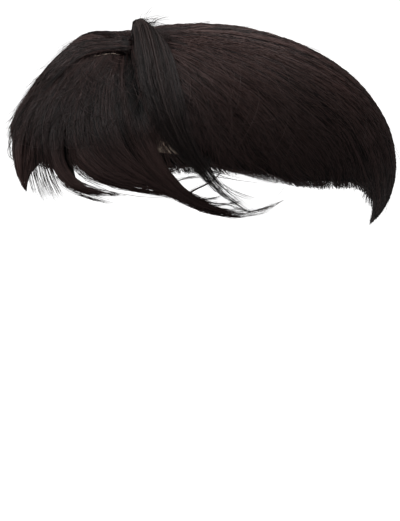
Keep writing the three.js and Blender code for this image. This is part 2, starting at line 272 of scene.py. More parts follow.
# %% [markdown]
# ## Floor and lamps
# A studio shot of dark hair needs broad soft lamps, because each hair is a tiny round rod that shows
# only as the streak of light along it. Strong lamps could also make the floor white, but they would
# flatten the hair. So the floor glows a little, for the camera alone, and the lamps serve the hair:
# one behind the crown, one broad one at the camera's left, and two weak ones at the sides.

# %% Floor, sky and lamps
FLOOR_LEVEL = -0.42
FLOOR_GLOW = 1.0
SKY_LIGHT = 0.25


def plain_material(name, colour, roughness):
    """A material whose shader has one colour and one roughness, ready for nodes."""
    material = bpy.data.materials.new(name)
    material.use_nodes = True
    shader = material.node_tree.nodes["Principled BSDF"]
    shader.inputs["Base Color"].default_value = (*colour, 1)
    shader.inputs["Roughness"].default_value = roughness
    return material, shader


def node_maker(tree):
    """Returns add(kind, links, **values): it adds a node, plugs each given output or number into
    the input of that name, and sets other values as properties."""
    def add(kind, links=None, **values):
        node = tree.nodes.new(kind)
        for key, value in values.items():
            setattr(node, key, value)
        for key, value in (links or {}).items():
            socket = node.inputs[key]
            if isinstance(value, bpy.types.NodeSocket):
                tree.links.new(value, socket)
            else:
                socket.default_value = value
        return node
    return add


def area_lamp(name, place, aim, size, watts, colour=(1, 1, 1)):
    """A square soft lamp of that size in metres, turned so that it shines from place to aim."""
    data = bpy.data.lights.new(name, "AREA")
    data.size, data.energy, data.color = size, watts, colour
    lamp = bpy.data.objects.new(name, data)
    heading = Vector(aim) - Vector(place)
    lamp.matrix_world = (Matrix.Translation(place)
                         @ heading.to_track_quat("-Z", "Y").to_matrix().to_4x4())
    bpy.context.scene.collection.objects.link(lamp)
    return lamp


FLOOR_SIDE = 30.0
floor_mesh = bpy.data.meshes.new("floor")
floor_mesh.from_pydata([(x * FLOOR_SIDE, y * FLOOR_SIDE, FLOOR_LEVEL)
                        for x, y in ((-1, -1), (1, -1), (1, 1), (-1, 1))], [], [(0, 1, 2, 3)])
floor = bpy.data.objects.new("floor", floor_mesh)
bpy.context.scene.collection.objects.link(floor)
floor_material, floor_shader = plain_material("pale_floor", (0.5, 0.5, 0.5), 0.9)
floor_add = node_maker(floor_material.node_tree)
seen = floor_add("ShaderNodeLightPath").outputs["Is Camera Ray"]
lit = floor_add("ShaderNodeMath", {0: seen, 1: FLOOR_GLOW}, operation="MULTIPLY")
floor_material.node_tree.links.new(lit.outputs[0], floor_shader.inputs["Emission Strength"])
floor_shader.inputs["Emission Color"].default_value = (1, 1, 1, 1)
floor_mesh.materials.append(floor_material)

world = bpy.data.worlds.new("studio")
world.use_nodes = True
bpy.context.scene.world = world
sky = world.node_tree.nodes["Background"]
sky.inputs["Color"].default_value = (1, 1, 1, 1)
sky.inputs["Strength"].default_value = SKY_LIGHT
bpy.context.scene.view_settings.view_transform = "Standard"

CENTRE = (0.0, 0.0, -0.04)
area_lamp("over_crown", (0.15, 0.40, 1.1), CENTRE, 0.9, 11)
area_lamp("from_camera_left", (-0.30, -0.85, 1.1), CENTRE, 0.9, 15)
area_lamp("from_camera_right", (1.5, -0.2, 0.9), CENTRE, 0.8, 2)
area_lamp("from_far_left", (-1.2, -0.5, 0.95), CENTRE, 0.7, 6)

# %% [markdown]
# ## Finishes
# Dark hair is almost black, with a brown or red cast that shows only where light passes the top
# layer. Each hair differs a little from its neighbours. So every hair carries two numbers in its UV
# map: u is its own tone and v says how warm it is at that place, and both also carry painted light
# and shade. A noise in space could vary the colour too, but it would spot the hairs instead of
# setting one off against the next. One node group turns the two numbers into a colour and a
# roughness, for both hair materials.

# %% The hair tone group
TONE_MAP = "OFBake"
GLOSS = 0.16


def group_with(name, inputs, outputs):
    """An empty node group with those sockets, each given as a name and a kind."""
    group = bpy.data.node_groups.new(name, "ShaderNodeTree")
    for label, kind, default in inputs:
        socket = group.interface.new_socket(label, in_out="INPUT", socket_type=kind)
        socket.default_value = default
    for label, kind in outputs:
        group.interface.new_socket(label, in_out="OUTPUT", socket_type=kind)
    return group, group.nodes.new("NodeGroupInput"), group.nodes.new("NodeGroupOutput")


COLOUR, NUMBER = "NodeSocketColor", "NodeSocketFloat"

hair_tone, tone_in, tone_out = group_with(
    "hair_tone",
    [("Deep", COLOUR, (0.006, 0.004, 0.004, 1)), ("Light", COLOUR, (0.03, 0.02, 0.02, 1)),
     ("Warm", COLOUR, (0.05, 0.02, 0.015, 1)), ("Tone", NUMBER, 0.5), ("Warmth", NUMBER, 0.3),
     ("Smooth", NUMBER, 0.3), ("Dry", NUMBER, 0.5)],
    [("Color", COLOUR), ("Roughness", NUMBER)])
add = node_maker(hair_tone)
spread = add("ShaderNodeMapRange", {"Value": tone_in.outputs["Tone"], "From Min": 0.0,
                                    "From Max": 1.0, "To Min": 0.0, "To Max": 1.0},
             interpolation_type="SMOOTHSTEP")
cool = add("ShaderNodeMix", {"Factor": spread.outputs["Result"], 6: tone_in.outputs["Deep"],
                             7: tone_in.outputs["Light"]}, data_type="RGBA")
amount = add("ShaderNodeMath", {0: tone_in.outputs["Warmth"], 1: spread.outputs["Result"]},
             operation="MULTIPLY")
warm = add("ShaderNodeMix", {"Factor": amount.outputs[0], 6: cool.outputs[2],
                             7: tone_in.outputs["Warm"]}, data_type="RGBA")
finish_range = add("ShaderNodeMapRange", {"Value": tone_in.outputs["Tone"],
                                          "To Min": tone_in.outputs["Smooth"],
                                          "To Max": tone_in.outputs["Dry"]})
hair_tone.links.new(warm.outputs[2], tone_out.inputs["Color"])
hair_tone.links.new(finish_range.outputs["Result"], tone_out.inputs["Roughness"])
print("group", hair_tone.name, "nodes", len(hair_tone.nodes))

# %% [markdown]
# ## Finish of the single hairs
# Hair shines in a band across the combing, because every hair is a smooth rod. Blender has a hair
# shader for that, but an exported part keeps only a plain surface. The tubes are rods themselves,
# so the plain shader gives the band too. There are two mixes: the brown-black of the combed hair,
# and a greyer one for the forelock, which is its sheen painted into the colour.

# %% Hair on single strands


def strand_material(name, deep, light, warm, finish):
    """Single hairs: the tone group reads tone and warmth from the hair's own UV map. The gloss is
    kept low on the shader's own socket, because hair in bulk swallows most of the light."""
    material, shader = plain_material(name, light, 0.4)
    tree = material.node_tree
    add = node_maker(tree)
    place = add("ShaderNodeUVMap", uv_map=TONE_MAP)
    parts = add("ShaderNodeSeparateXYZ", {0: place.outputs["UV"]})
    tone = add("ShaderNodeGroup", node_tree=hair_tone)
    tree.links.new(parts.outputs["X"], tone.inputs["Tone"])
    tree.links.new(parts.outputs["Y"], tone.inputs["Warmth"])
    for socket, value in (("Deep", deep), ("Light", light), ("Warm", warm)):
        tone.inputs[socket].default_value = (*value, 1)
    tone.inputs["Smooth"].default_value, tone.inputs["Dry"].default_value = finish
    tree.links.new(tone.outputs["Color"], shader.inputs["Base Color"])
    tree.links.new(tone.outputs["Roughness"], shader.inputs["Roughness"])
    shader.inputs["Specular IOR Level"].default_value = GLOSS
    return material


hair_strands = strand_material("combed_hair", (0.0016, 0.0011, 0.0011), (0.034, 0.0245, 0.024),
                               (0.088, 0.044, 0.038), (0.34, 0.50))
# painted sheen: a greyer copy of the hair colours for the forelock
forelock_strands = strand_material("forelock_hair_painted_sheen", (0.003, 0.0022, 0.0022),
                                   (0.034, 0.027, 0.026), (0.056, 0.036, 0.033), (0.32, 0.48))

# %% [markdown]
# ## Under-hair
# Below the top layer, hair is a dense dark body. Its material shows only in the gaps between hairs,
# so it is darker, with fine streaks that run along the lock. A streaked picture could be laid on it,
# but noise in the lock's own UV map bends with the lock, squeezed across it and stretched along it.

# %% Under-hair material


def body_material(name, deep, light):
    """Locks under the top hairs: streaks of two dark colours and a bump along each lock."""
    material, shader = plain_material(name, deep, 0.6)
    tree = material.node_tree
    add = node_maker(tree)
    place = add("ShaderNodeUVMap", uv_map="lock")
    stretch = add("ShaderNodeMapping", {"Vector": place.outputs["UV"], "Scale": (70.0, 1.6, 1.0)})
    streaks = add("ShaderNodeTexNoise", {"Vector": stretch.outputs["Vector"], "Scale": 1.0,
                                         "Detail": 3.0, "Roughness": 0.65})
    contrast = add("ShaderNodeMapRange", {"Value": streaks.outputs["Fac"], "From Min": 0.35,
                                          "From Max": 0.7})
    colour = add("ShaderNodeMix", {"Factor": contrast.outputs["Result"], 6: (*deep, 1),
                                   7: (*light, 1)}, data_type="RGBA")
    bump = add("ShaderNodeBump", {"Height": streaks.outputs["Fac"], "Strength": 0.6,
                                  "Distance": 0.0004})
    rough = add("ShaderNodeMapRange", {"Value": streaks.outputs["Fac"], "To Min": 0.5,
                                       "To Max": 0.75})
    tree.links.new(colour.outputs[2], shader.inputs["Base Color"])
    tree.links.new(bump.outputs["Normal"], shader.inputs["Normal"])
    tree.links.new(rough.outputs["Result"], shader.inputs["Roughness"])
    shader.inputs["Specular IOR Level"].default_value = 0.08
    return material


under_hair = body_material("under_hair", (0.0015, 0.0012, 0.0012), (0.005, 0.004, 0.0037))
# painted sheen: a greyer, lighter copy of the under-hair for the forelock
under_forelock = body_material("under_forelock", (0.002, 0.0017, 0.0017), (0.006, 0.005, 0.005))

# %% [markdown]
# ## The net cap
# The cap is a fine net on a thin skin-coloured base, with a narrow tape round its rim. It keeps its
# CAD solid. The threads could be modelled, but they are finer than a pixel, so the material draws
# them in object coordinates: two sets of fine waves cross, and the cells between them are sunk.

# %% Net material


def net_material(name, thread, cell, pitch):
    """Fine net: two waves at right angles give the threads, which are paler and stand proud."""
    material, shader = plain_material(name, cell, 0.8)
    tree = material.node_tree
    add = node_maker(tree)
    place = add("ShaderNodeTexCoord")
    lines = []
    for turn in (0.785, -0.785):
        turned = add("ShaderNodeMapping", {"Vector": place.outputs["Object"],
                                           "Rotation": (0.5, 0.35, turn)})
        wave = add("ShaderNodeTexWave", {"Vector": turned.outputs["Vector"],
                                         "Scale": 1.0 / pitch / 3.14, "Distortion": 0.0})
        lines.append(wave.outputs["Fac"])
    net = add("ShaderNodeMath", {0: lines[0], 1: lines[1]}, operation="MAXIMUM")
    sharp = add("ShaderNodeMapRange", {"Value": net.outputs[0], "From Min": 0.55,
                                       "From Max": 0.95})
    stains = add("ShaderNodeTexNoise", {"Vector": place.outputs["Object"], "Scale": 60.0,
                                        "Detail": 4.0})
    base = add("ShaderNodeMix", {"Factor": sharp.outputs["Result"], 6: (*cell, 1),
                                 7: (*thread, 1)}, data_type="RGBA")
    worn = add("ShaderNodeMix", {"Factor": stains.outputs["Fac"], 6: base.outputs[2],
                                 7: (*[c * 0.7 for c in cell], 1)}, data_type="RGBA")
    bump = add("ShaderNodeBump", {"Height": sharp.outputs["Result"], "Strength": 0.7,
                                  "Distance": 0.0003})
    rough = add("ShaderNodeMapRange", {"Value": stains.outputs["Fac"], "To Min": 0.65,
                                       "To Max": 0.9})
    tree.links.new(worn.outputs[2], shader.inputs["Base Color"])
    tree.links.new(bump.outputs["Normal"], shader.inputs["Normal"])
    tree.links.new(rough.outputs["Result"], shader.inputs["Roughness"])
    return material


net = net_material("cap_net", (0.66, 0.56, 0.47), (0.42, 0.33, 0.26), 0.0016)
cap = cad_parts["base_cap"]
for slot in cap.material_slots:
    slot.link = "OBJECT"
    slot.material = net
print("cap slots", len(cap.material_slots))

# %% [markdown]
# ## Putting a surface into Blender
# Both makers below work on whole arrays. A lock is a stack of closed rings. A hair is a thin tube
# with three sides, which is enough for something narrower than a pixel, and keeps thousands of them
# light. Each could be a bevelled curve, which is slow in such numbers. Many tubes go into one mesh
# instead, so Blender handles a whole section of hair as one object.

# %% Mesh makers


def new_piece(name, points, loops, starts, uv, uv_name, material):
    """A mesh object from arrays: vertex places, the vertex of each face corner, where each face
    starts in that list, and a UV pair for each corner. It rides on the root body."""
    mesh = bpy.data.meshes.new(name)
    mesh.vertices.add(len(points))
    mesh.vertices.foreach_set("co", np.ascontiguousarray(points, np.float32).ravel())
    mesh.loops.add(len(loops))
    mesh.loops.foreach_set("vertex_index", np.ascontiguousarray(loops, np.int32))
    mesh.polygons.add(len(starts))
    mesh.polygons.foreach_set("loop_start", np.ascontiguousarray(starts, np.int32))
    mesh.polygons.foreach_set("use_smooth", np.ones(len(starts), bool))
    layer = mesh.uv_layers.new(name=uv_name)
    layer.uv.foreach_set("vector", np.ascontiguousarray(uv, np.float32).ravel())
    mesh.update(calc_edges=True)
    mesh.validate()
    mesh.materials.append(material)
    piece = bpy.data.objects.new(name, mesh)
    bpy.context.scene.collection.objects.link(piece)
    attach(piece, "root")
    return piece


def tube_faces(count, stations, sides):
    """Corner lists for count tubes: for each pair of rings, one square for each side, and a cap at
    each end. Returns the corners and the start of each face."""
    grid = np.arange(count * stations * sides).reshape(count, stations, sides)
    here, ahead = grid[:, :-1], grid[:, 1:]
    quads = np.stack([here, ahead, np.roll(ahead, -1, 2), np.roll(here, -1, 2)], -1)
    first, last = grid[:, 0], grid[:, -1, ::-1]
    loops = np.concatenate([quads.ravel(), first.ravel(), last.ravel()])
    squares = quads.size // 4
    starts = np.concatenate([np.arange(squares) * 4, squares * 4 + np.arange(2 * count) * sides])
    return loops, starts


def hair_tubes(name, paths, radius, tone, warmth, material, sides=3):
    """Hairs as thin tubes. At each station of a path, the ring's corners stand at equal angles
    around the path's direction, at the radius. paths is hairs x stations x 3, radius and warmth
    are hairs x stations, and tone has one value for each hair, or for each of its stations."""
    count, stations, _ = paths.shape
    along = unit(np.gradient(paths, axis=1))
    out = hair_normal(paths)
    across = unit(np.cross(along, out))
    out = np.cross(across, along)
    turn = np.pi / 2 + 2 * np.pi * np.arange(sides) / sides
    ring = (np.cos(turn)[:, None] * across[:, :, None] + np.sin(turn)[:, None] * out[:, :, None])
    points = paths[:, :, None] + radius[:, :, None, None] * ring
    loops, starts = tube_faces(count, stations, sides)
    tone = tone.reshape(count, -1, 1)
    shade = np.clip(tone + 0.012 * np.cos(turn), 0.01, 0.99)
    shade = np.broadcast_to(shade, (count, stations, sides))
    glow = np.clip(warmth + 0.02 * np.linspace(0, 1, stations), 0.01, 0.99)
    glow = np.broadcast_to(glow[:, :, None], (count, stations, sides))
    uv = np.stack([shade, glow], -1).reshape(-1, 2)[loops]
    piece = new_piece(name, points.reshape(-1, 3), loops, starts, uv, TONE_MAP, material)
    print(name, "hairs", count, "triangles", count * (2 * sides * (stations - 1) + 2 * (sides - 2)))
    return piece


def lofted_locks(name, locks, material):
    """Locks as closed lofts: each lock is stations x ring x 3, and its rings are joined in turn."""
    points, loops, starts, uv = [], [], [], []
    base, corner = 0, 0
    for number, lock in enumerate(locks):
        stations, ring, _ = lock.shape
        faces, first = tube_faces(1, stations, ring)
        around = np.abs(np.linspace(-1, 1, ring)) + number * 1.37
        along = np.linspace(0, 1, stations)
        pair = np.stack(np.broadcast_arrays(around[None], along[:, None]), -1).reshape(-1, 2)
        points.append(lock.reshape(-1, 3))
        uv.append(pair[faces])
        loops.append(faces + base)
        starts.append(first + corner)
        base += stations * ring
        corner += len(faces)
    piece = new_piece(name, np.concatenate(points), np.concatenate(loops), np.concatenate(starts),
                      np.concatenate(uv), "lock", material)
    volume = mesh_volume(piece.data)
    print(name, "locks", len(locks), "volume ml", round(volume * 1e6, 3))
    return piece


def mesh_volume(mesh):
    """Signed volume: the sum over triangles of the box product of their corners, divided by 6. It
    is above zero where the faces point outwards."""
    mesh.calc_loop_triangles()
    corners = np.empty(len(mesh.loop_triangles) * 3, np.int32)
    mesh.loop_triangles.foreach_get("vertices", corners)
    places = np.empty(len(mesh.vertices) * 3, np.float32)
    mesh.vertices.foreach_get("co", places)
    a, b, c = np.moveaxis(places.reshape(-1, 3)[corners].reshape(-1, 3, 3), 1, 0)
    return float((a * np.cross(b, c)).sum() / 6)


# %% [markdown]
# ## Bodies of the locks
# Each CAD section is a fan of plain locks. A subdivided copy of it would be round everywhere, also
# in the grooves between locks, so each body is lofted anew. It has the same middle line, width and
# thickness, with more stations and a rounder back, and it stays a little under the CAD surface so
# that the single hairs have room on top.

# %% Lock bodies
LOCK_OVERLAP = 0.0012
SECTION_GAP = 0.0006
LOCK_GROOVE = 0.0018
LOCK_TIER = 0.0007
ROOT_REACH = 6.0
ROOT_HEIGHT = 0.85
TOP_LAYER = 0.0012
BODY_SHORT = 2.6
BODY_STATIONS = 24
TIP_THIN = 0.28
RING_TOP = np.linspace(1, -1, 11)
RING_UNDER = np.linspace(-1, 1, 5)


def lock_body(bearing, reach, steps, right, left, share, tier, trim, hem_at=None):
    """Closed lock along a path: at each station, points across the dome give its back, sunk by the
    groove times the square of their place across, and the same places on the scalp its underside.
    The root starts at a share of the height and the tip thins to a share of it. Where hem_at is
    given, the reach grows across the lock as the hem does, so that the tip is cut along the hem."""
    wide, deep = sideways(reach, *steps)
    rise = blend(ROOT_HEIGHT, 1.0, smooth(share, 0, 0.2))[:, None, None]
    body = blend(1.0, TIP_THIN, smooth(share, 0.5, 1))[:, None, None]

    def across(places):
        width = np.where(places < 0, right[:, None], left[:, None]) * places
        around = bearing[:, None] + width * wide[:, None]
        out = reach[:, None] + width * deep[:, None]
        if hem_at is not None:
            out = out + share[:, None] * (hem_reach(around) - hem_at)
        outer = hair_point(around, out)
        seat = scalp_point(outer, SEAT + tier)
        top = blend(seat, outer, rise)
        room = np.linalg.norm(top - seat, axis=-1, keepdims=True)
        groove = np.minimum(LOCK_GROOVE * places[:, None] ** 2, room / 2)
        sunk = np.minimum(groove + trim * blend(0.5, 1.0, rise), 0.8 * room)
        return blend(top, seat, body), blend(top, seat, sunk / room * body)

    under = across(RING_UNDER)[0]
    back_of_lock = across(RING_TOP)[1]
    return np.concatenate([under, back_of_lock], 1)[:, ::-1]


def section_bodies(first, last, locks, bend):
    """Bodies of one section: equal wedges between two bearings, from the whorl to the hem. The
    wedges near the second bearing bend towards it by the square of the way along."""
    step = (last - first) / locks
    made = []
    for i in range(locks):
        place = (i + 0.5) / locks
        middle = blend(first, last, place)
        end = hem_reach(middle) - BODY_SHORT
        share = np.linspace(0, 1, BODY_STATIONS)
        reach = blend(ROOT_REACH, end, share)
        bearing = middle + bend * place * share ** 2
        half = GIRTH * np.sin(np.radians(reach)) * np.radians(step / 2)
        tip = blend(1, 0.9, smooth(share, 0.9, 1))
        right_half = (half + (-SECTION_GAP if i == 0 else LOCK_OVERLAP) / 2) * tip
        left_half = (half + (-SECTION_GAP if i == locks - 1 else LOCK_OVERLAP) / 2) * tip
        made.append(lock_body(bearing, reach, (0 * share, 0 * share + 1), right_half, left_half,
                              share, (i % 2) * LOCK_TIER, TOP_LAYER, hem_reach(middle)))
    return made


for node, rows in SECTIONS.items():
    piece = lofted_locks(node.replace("_hair", "_under_hair"), section_bodies(*rows), under_hair)
    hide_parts(node)

# %% [markdown]
# ## Bodies of the fringe locks
# The fringe is six locks that leave the whorl side by side and end in separate swept tips. A curve
# with a bevel could draw each, but its width has to lie along the dome. So the same lock maker runs
# on the smooth path through the lock's rows. It stops before the tip, where a real lock is only a
# few hairs thick.

# %% Fringe bodies
BODY_TO = 0.76
NARROW_FROM = 0.35


def weighted(rows):
    """A fringe lock's rows as an array, with its width shares weighted up, so that the smooth path
    counts a change of width as much as one of place."""
    return np.array(rows) * (1, 1, SHARE_WEIGHT)


def fringe_body(rows, index):
    """Body of one fringe lock: its middle line is the smooth path through its rows."""
    share = np.linspace(0, BODY_TO, 32)
    path = through_rows(weighted(rows), share)
    heading = np.gradient(path, axis=0)
    narrow = blend(0.92, 0.25, smooth(share, NARROW_FROM, BODY_TO))
    half = FRINGE_WIDTH * path[:, 2] / SHARE_WEIGHT * narrow
    return lock_body(path[:, 0], path[:, 1], (heading[:, 0], heading[:, 1]), half, half, share,
                     (index % 2) * LOCK_TIER, TOP_LAYER)


fringe_under = lofted_locks("fringe_under_hair",
                            [fringe_body(rows, i) for i, rows in enumerate(FRINGE)],
                            under_hair)
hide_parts("front_fringe")

# %% [markdown]
# ## Slow changes over the hairpiece
# Hair never has one even shade or direction: both drift slowly from place to place. The drift could
# be painted on a guide mesh, but a sum of a few long waves gives it at any place, and it comes out the
# same each time.

# %% Fields on the dome
MM = 0.001
PAINTED_SHEEN_PLACE = np.array([0.032, -0.058, -0.012])
PAINTED_SHEEN_SPREAD = 0.026
WAVE_LENGTHS = (70.0, 41.0, 23.0, 13.0)


def waves(bearing, reach, seed):
    """A slow smooth field between about -1 and 1: the sum of four sines of bearing and reach."""
    rng = np.random.default_rng(seed)
    total = 0.0
    for length in WAVE_LENGTHS:
        angle, phase = rng.uniform(0, 2 * np.pi, 2)
        total = total + np.sin((np.cos(angle) * bearing + np.sin(angle) * reach) * 2 * np.pi
                               / length + phase) * length ** 0.5 / 14.0
    return total


def warmth_and_painted_light(paths):
    """How warm the hair looks at a place: more at the top of the dome, where light from above is
    painted in, in slow patches, and less around the forelock, where a grey sheen is painted in."""
    # painted light: the top of the dome is made warmer, as if lit from above
    up = smooth(paths[..., 2], -0.045, 0.004)
    patch = np.sin(paths[..., 0] * 95 + 1.3) * np.sin(paths[..., 1] * 80 + paths[..., 0] * 60 + 0.7)
    # painted sheen: less warmth around the forelock makes it look greyer there
    far = np.linalg.norm(paths - PAINTED_SHEEN_PLACE, axis=-1) / PAINTED_SHEEN_SPREAD
    warm = 0.26 + 0.45 * up ** 1.6 + 0.08 * patch
    return np.clip(warm * (1 - 0.25 * np.exp(-far ** 2 / 2)), 0, 1)


crown_and_nape = hair_point(np.array([0.0, 180.0]), np.array([10.0, 110.0]))
print("warmth at the crown and the nape:", warmth_and_painted_light(crown_and_nape).round(2))

# %% [markdown]
# ## What all hairs share
# A hair swells just above its root, keeps its thickness and thins at its tip. It lies at some depth
# under the dome, and sways a little on its way. Each of these is one small helper, used by every
# kind of hair below. A real hair is thinner than these tubes: each tube stands for a few hairs that
# cling together, because every single hair of a hairpiece would be too heavy for a library part.

# %% One hair
STATIONS = 9


def taper(shares, root=0.6, tip=0.15, tip_from=0.7):
    """Thickness along a hair: it starts at the root share, is whole from a tenth of the way, and
    thins to the tip share from tip_from on."""
    start = blend(root, 1.0, smooth(shares, 0.0, 0.1))
    return start * blend(1.0, tip, smooth(shares, tip_from, 1.0))


def lay(bearing, reach, depth):
    """Points under the dome at those bearings and reaches, sunk by the depth in metres but kept
    above the cap. A depth below zero stands off the dome."""
    outer = hair_point(bearing, reach)
    floor_points = scalp_point(outer, SEAT)
    room = np.linalg.norm(outer - floor_points, axis=-1)
    sink = np.minimum(depth, room * 0.92)
    return outer - hair_normal(outer) * sink[..., None]


def along_hair(start, end, stations=STATIONS):
    """Shares of a path at each hair's stations: equal steps from its start to its end."""
    return start[:, None] + (end - start)[:, None] * np.linspace(0, 1, stations)[None]


def thickness(rng, count, radius_mm, profile):
    """Radius of each hair at its stations: one drawn between two limits, times the profile."""
    return rng.uniform(*radius_mm, count)[:, None] * MM * profile[None]


def sway(rng, count, wide, share, speed):
    """A slight snaking: a sine of the way along at that speed, with its own width and start."""
    size = rng.normal(0, wide, count)[:, None]
    return size * np.sin(share * speed + rng.uniform(0, 6, count)[:, None])


print("stations on a hair", STATIONS, "taper", taper(np.linspace(0, 1, 5)).round(2))

# %% [markdown]
# ## Combed hairs of the sides and the back
# Hair is knotted all over the cap, so the number of hairs that cross a ring around the whorl grows
# with the ring. A root's reach is drawn so that this holds: the sine of the reach is uniform. Evenly
# spread hairs would look like a brush, so they lie in small clumps. A clump's hairs draw together
# towards their tips, which end at nearly the same length, and the hem is slightly ragged.

# %% Strands of a section
TOP_RADIUS = (0.09, 0.17)
PROUD = 0.9 * MM
BRIGHT_SHARE = 0.16
SHORT_SHARE = 0.34
STRAY_SHARE = 0.15
SECTION_HAIRS = {
    "left_side_hair": (2900, 120, 11),
    "left_back_hair": (2600, 100, 12),
    "back_hair": (2700, 110, 13),
    "right_back_hair": (1500, 50, 14),
    "right_side_hair": (1700, 50, 15),
}


def clumped(rng, count, groups, low, high, loose):
    """Places between low and high, each drawn towards the nearest of some random centres. Returns
    the places, the centres that they lean to, and the number of each one's group."""
    centre = np.sort(rng.uniform(low, high, groups))
    place = rng.uniform(low, high, count)
    nearest = np.searchsorted((centre[1:] + centre[:-1]) / 2, place + rng.normal(0, loose, count))
    return place, centre[nearest], nearest


def hair_tones(rng, shade):
    """Tones of hairs around their group's shade: most are dark, and some get a light tone, a painted
    highlight. Returns the tones and which hairs are the bright ones."""
    bright = rng.uniform(size=len(shade)) < BRIGHT_SHARE
    tone = rng.beta(1.2, 3.2, len(shade)) * 0.6 + 0.85 * shade
    # painted highlight: the bright hairs get tones near the top of the range
    return np.clip(np.where(bright, rng.uniform(0.7, 1.0, len(shade)), tone), 0, 1), bright


def section_hairs(name, count, clumps, rng):
    """Hairs of one section, as bearings, reaches and depths at even shares of their length. The
    root's reach is drawn so that its sine is uniform, and each hair ends close to the hem, or well
    above it where it is one of the shorter ones."""
    first, last, locks, bend = SECTIONS[name]
    share = np.linspace(0, 1, STATIONS)[None]
    root = np.degrees(np.arcsin(rng.uniform(np.sin(np.radians(5.0)), 1.0, count)))
    bearing, centre, group = clumped(rng, count, clumps, first + 0.2, last - 0.2, 0.35)
    pull = rng.uniform(0.15, 0.75, clumps)[group]
    clump_long = rng.normal(0, 0.2, clumps)[group]
    clump_deep = rng.uniform(0, 1.0, clumps)[group]
    place = (bearing - first) / (last - first)
    stray = np.where(rng.uniform(size=count) < STRAY_SHARE, rng.normal(0, 10, count), 0)
    yaw = rng.normal(0, 2.6, count) + stray
    lean = (centre - bearing) * pull

    def combed(share, reach):
        """Bearing at a share of the way: the bend, the clump, the yaw and the slow flow added."""
        flow = 2.6 * waves(bearing[:, None], reach, len(name)) * share
        turned = (bend * place + lean)[:, None] * share ** 2 + yaw[:, None] * (share - 0.3) * share
        return np.clip(bearing[:, None] + turned + flow, first + 0.1, last - 0.1 + bend)

    guess = hem_reach(bearing + bend * place)[:, None]
    at_hem = hem_reach(combed(np.ones((count, 1)), guess)[:, 0])
    short = rng.uniform(size=count) < SHORT_SHARE
    end = at_hem + clump_long + np.where(short, -rng.gamma(1.6, 7.0, count),
                                         rng.normal(0.5, 0.45, count))
    root = np.minimum(root, end - 16)
    long = (end - root)[:, None]
    reach = root[:, None] + long * share
    along = combed(share, reach)
    layer = rng.beta(1.1, 1.7, count)
    lock_place = (place * locks % 1) * 2 - 1
    groove = LOCK_GROOVE * 0.5 * lock_place ** 2
    # painted shade: hairs lower in the layer are given a darker tone
    tone, bright = hair_tones(rng, rng.uniform(0, 0.36, clumps)[group] - 0.12 * layer)
    depth = -PROUD + 1.5 * MM * layer * (1 - 0.8 * bright) + 0.7 * MM * clump_deep + groove
    buried = blend(0.9, 3.0, smooth(root, 14, 30))[:, None] * MM
    rising = buried * (1 - smooth(share * long, 0, 8.0))
    tuck = 1.0 * MM * smooth(share, 0.85, 1.0)
    return along, reach, depth[:, None] + rising + tuck, tone


def dress_section(name, count, clumps, seed):
    """Makes the hairs of one section as one piece."""
    rng = np.random.default_rng(seed)
    bearing, reach, depth, tone = section_hairs(name, count, clumps, rng)
    paths = lay(bearing, reach, depth)
    profile = taper(np.linspace(0, 1, STATIONS), tip=0.45, tip_from=0.85)
    radius = thickness(rng, count, TOP_RADIUS, profile) * blend(1.0, 1.2, tone > 0.7)[:, None]
    return hair_tubes(name.replace("_hair", "_strands"), paths, radius, tone, warmth_and_painted_light(paths),
                      hair_strands)


for name, (count, clumps, seed) in SECTION_HAIRS.items():
    dress_section(name, count, clumps, seed)

# %% [markdown]
# ## Hairs of the fringe
# Each fringe lock has its own path. Its hairs keep their place across the lock, spread a little
# where it is broad and draw together at its tip, and some run on past the tip as fine ends. Hairs
# could all be as long as their lock, but then its tip would be a blunt brush, so most stop early.

# %% Fringe strands
PART_FROM, PART_TO = -9.0, 36.0
SHADOW_DEPTH = 3.2 * MM
LAST_LOCK = [(42, 9, .08), (43, 25, .16), (44, 40, .18), (44.4, 50, .15), (44.2, 57, .1),
             (43.8, 63, .08)]
LOCK_HABITS = [(460, 0.6, 0.96, 0.6), (220, 0.88, 0.95, 1.3), (380, 0.9, 0.92, 1.0),
               (460, 0.88, 0.95, 1.2), (440, 0.8, 0.95, 1.0), (470, 0.95, 0.84, 0.8),
               (170, 0.9, 0.9, 0.6)]
STREAKS = 26


def beyond_parting(bearing, reach):
    """How many degrees a place lies outside the parting line: above zero on the fringe's side."""
    return reach - np.interp(bearing, PARTING[:, 0], PARTING[:, 1])


def lock_hairs(rows, count, rng, early, late, fray):
    """Hairs of one fringe lock: a place across it, and a start and an end as shares of its path.
    The early share of them ends above the late place, and all spread a little, by the fray in
    metres, towards their ends. Returns bearings, reaches, shares of the path, places, shades, and
    how low each hair's streak lies."""
    rows = weighted(rows)
    place, centre, group = clumped(rng, count, STREAKS, -1, 1, 0.02)
    start = rng.uniform(0.0, 0.35, count)
    stops = rng.uniform(size=count) < early
    stop = blend(0.5, late, rng.uniform(0, 1, count) ** 0.6)
    share = along_hair(start, np.where(stops, stop, 1 + rng.normal(0, 0.02, count)))
    path = through_rows(rows, share)
    step = 0.004
    heading = through_rows(rows, share + step) - through_rows(rows, share - step)
    leave = (through_rows(rows, np.array(1.0)) - through_rows(rows, np.array(0.98))) / 0.02
    path = path + np.clip(share - 1, 0, None)[..., None] * leave
    half = FRINGE_WIDTH * np.clip(path[..., 2], 1.5, None) / SHARE_WEIGHT
    wide, deep = sideways(path[..., 1], heading[..., 0], heading[..., 1])
    lean = (centre - place)[:, None] * 0.6 * smooth(share, 0.1, 0.9)
    snake = sway(rng, count, 0.035, share, 5)
    loose = rng.normal(0, fray, count)[:, None] * smooth(share, 0.5, 1.0)
    off = (place[:, None] + lean + snake) * half + loose
    shade = rng.uniform(0, 0.5, STREAKS)[group]
    low = rng.uniform(0, 1, STREAKS)[group]
    return path[..., 0] + off * wide, path[..., 1] + off * deep, share, place, shade, low


